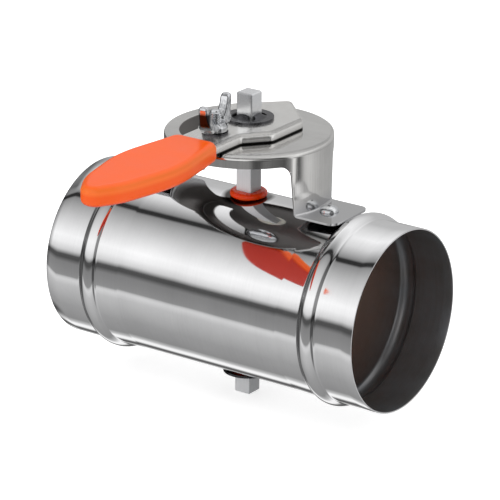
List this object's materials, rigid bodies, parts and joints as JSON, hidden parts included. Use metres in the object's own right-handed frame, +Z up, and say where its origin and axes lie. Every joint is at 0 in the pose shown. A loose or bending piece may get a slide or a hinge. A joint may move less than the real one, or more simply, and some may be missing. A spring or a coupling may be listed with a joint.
{
  "type": "manual duct damper",
  "caption": "Round duct damper with a spigot at each end and an inner blade on a square shaft, turned by an orange-gripped lever that a wing nut clamps to a raised index plate.",
  "frame": {"origin": "where the duct's axis crosses the blade shaft's axis", "axes": "+X along the duct's axis, +Z up the shaft towards the lever, -Y the way the lever points when shut"},
  "size_m": [0.2, 0.1966, 0.1751],
  "materials": {
    "tube_steel": "bright rolled sheet",
    "bracket_steel": "satin",
    "lever_steel": "brushed",
    "blade_steel": "satin",
    "plated_fastener": "bright zinc plate",
    "shaft_bar": "drawn",
    "black_spring_steel": "satin black",
    "red_silicone": "matt",
    "nylon": "natural",
    "orange_grip": "soft satin"
  },
  "bodies": {
    "housing": {"duct_tube": "tube_steel", "bracket": "bracket_steel", "bracket_screw_left": "plated_fastener", "bracket_screw_right": "plated_fastener"},
    "handle": {"shaft": "shaft_bar", "lever": "lever_steel", "grip": "orange_grip", "lever_spacer": "nylon", "top_seal_bush": "red_silicone", "bottom_seal_bush": "red_silicone", "push_washer_top": "black_spring_steel", "push_washer_bottom": "black_spring_steel", "clamp_bolt": "plated_fastener", "clamp_washer": "plated_fastener", "blade_plate_front": "blade_steel", "blade_plate_back": "blade_steel", "blade_seal_near": "red_silicone", "blade_seal_far": "red_silicone", "blade_rivet_1": "plated_fastener", "blade_rivet_2": "plated_fastener", "blade_rivet_3": "plated_fastener", "blade_rivet_4": "plated_fastener", "blade_bolt_lower": "plated_fastener", "blade_bolt_upper": "plated_fastener", "blade_nut_lower": "plated_fastener", "blade_nut_upper": "plated_fastener"},
    "nut": {"wing_nut": "plated_fastener"}
  },
  "joints": [
    {"name": "handle_turn", "type": "hinge", "parent": "housing", "child": "handle", "pos_m": [0, 0, 0.087], "axis": [0, 0, -1], "range_deg": [0, 90]},
    {"name": "wing_nut_turn", "type": "hinge", "parent": "handle", "child": "nut", "pos_m": [0, -0.031, 0.0941], "axis": [0, 0, 1], "range_deg": [0, 360]}
  ]
}
